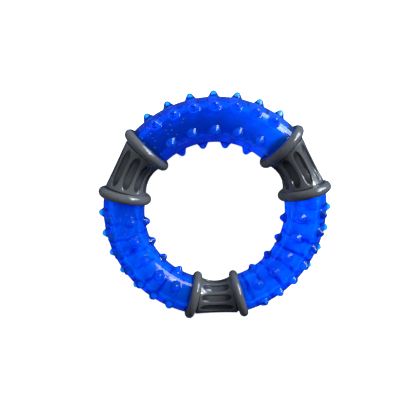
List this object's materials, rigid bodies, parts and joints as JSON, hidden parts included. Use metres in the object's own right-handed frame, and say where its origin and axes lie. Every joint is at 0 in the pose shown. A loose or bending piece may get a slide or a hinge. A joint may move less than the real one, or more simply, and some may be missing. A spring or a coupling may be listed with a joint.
{
  "type": "rubber chew ring",
  "caption": "Chew ring for a dog: studded see-through rubber tube arcs joined end to end by beaded, fluted grey connectors with a core pin inside each.",
  "frame": {"origin": "centre of the ring, on the flat plane that halves its tube", "axes": "+Z along the ring's axis, up as the ring lies flat; +Y from the centre to the middle of the top chew arc; +X to the right as the picture shows it"},
  "size_m": [0.157, 0.1545, 0.0344],
  "materials": {
    "chew_blue": "glossy see-through royal blue rubber",
    "connector_grey": "smooth satin charcoal rubber",
    "pin_black": "plain moulded nylon, near black"
  },
  "bodies": {
    "root": {"top_chew_arc": "chew_blue", "left_chew_arc": "chew_blue", "right_chew_arc": "chew_blue", "left_connector": "connector_grey", "right_connector": "connector_grey", "bottom_connector": "connector_grey", "left_core_pin": "pin_black", "right_core_pin": "pin_black", "bottom_core_pin": "pin_black"}
  },
  "joints": []
}
